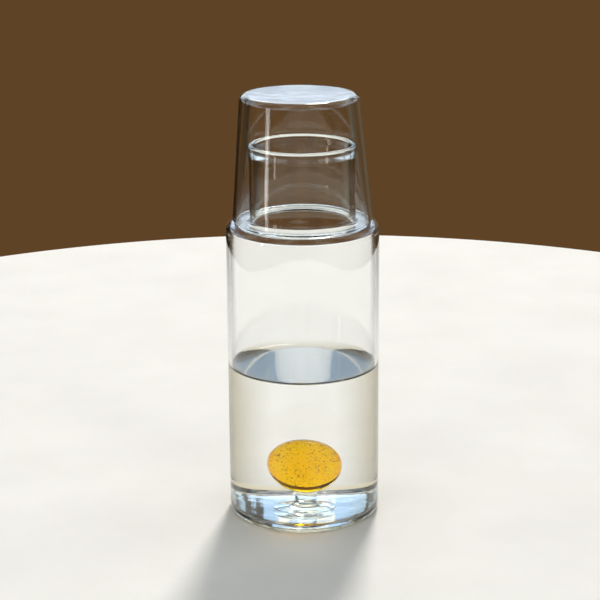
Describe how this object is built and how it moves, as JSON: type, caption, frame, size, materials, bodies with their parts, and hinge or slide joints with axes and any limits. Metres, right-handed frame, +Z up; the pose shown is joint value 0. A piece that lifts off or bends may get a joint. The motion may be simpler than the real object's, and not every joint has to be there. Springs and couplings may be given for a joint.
{
  "type": "bedside carafe with tumbler",
  "caption": "Straight glass water carafe with an amber glass ball on a stem inside, and a tapered glass tumbler that sits upside down over its neck.",
  "frame": {"origin": "centre of the carafe's flat base, on the surface that it stands on", "axes": "+Z up along the common axis of the carafe and the tumbler; the object is round, so +X and +Y are free"},
  "size_m": [0.09, 0.09, 0.254],
  "materials": {
    "clear_glass": "clear blown soda glass, fire-polished, with faint waves and a few seeds",
    "stem_glass": "clear solid glass, fused to the floor",
    "amber_glass": "transparent amber-yellow glass with fine seeds and cords",
    "water": "still clear drinking water"
  },
  "bodies": {
    "carafe": {"carafe": "clear_glass", "stem": "stem_glass", "ball": "amber_glass", "water": "water"},
    "tumbler": {"tumbler": "clear_glass"}
  },
  "joints": [
    {"name": "tumbler_lift", "type": "slide", "parent": "carafe", "child": "tumbler", "axis": [0, 0, 1], "range_m": [0, 0.075]}
  ]
}
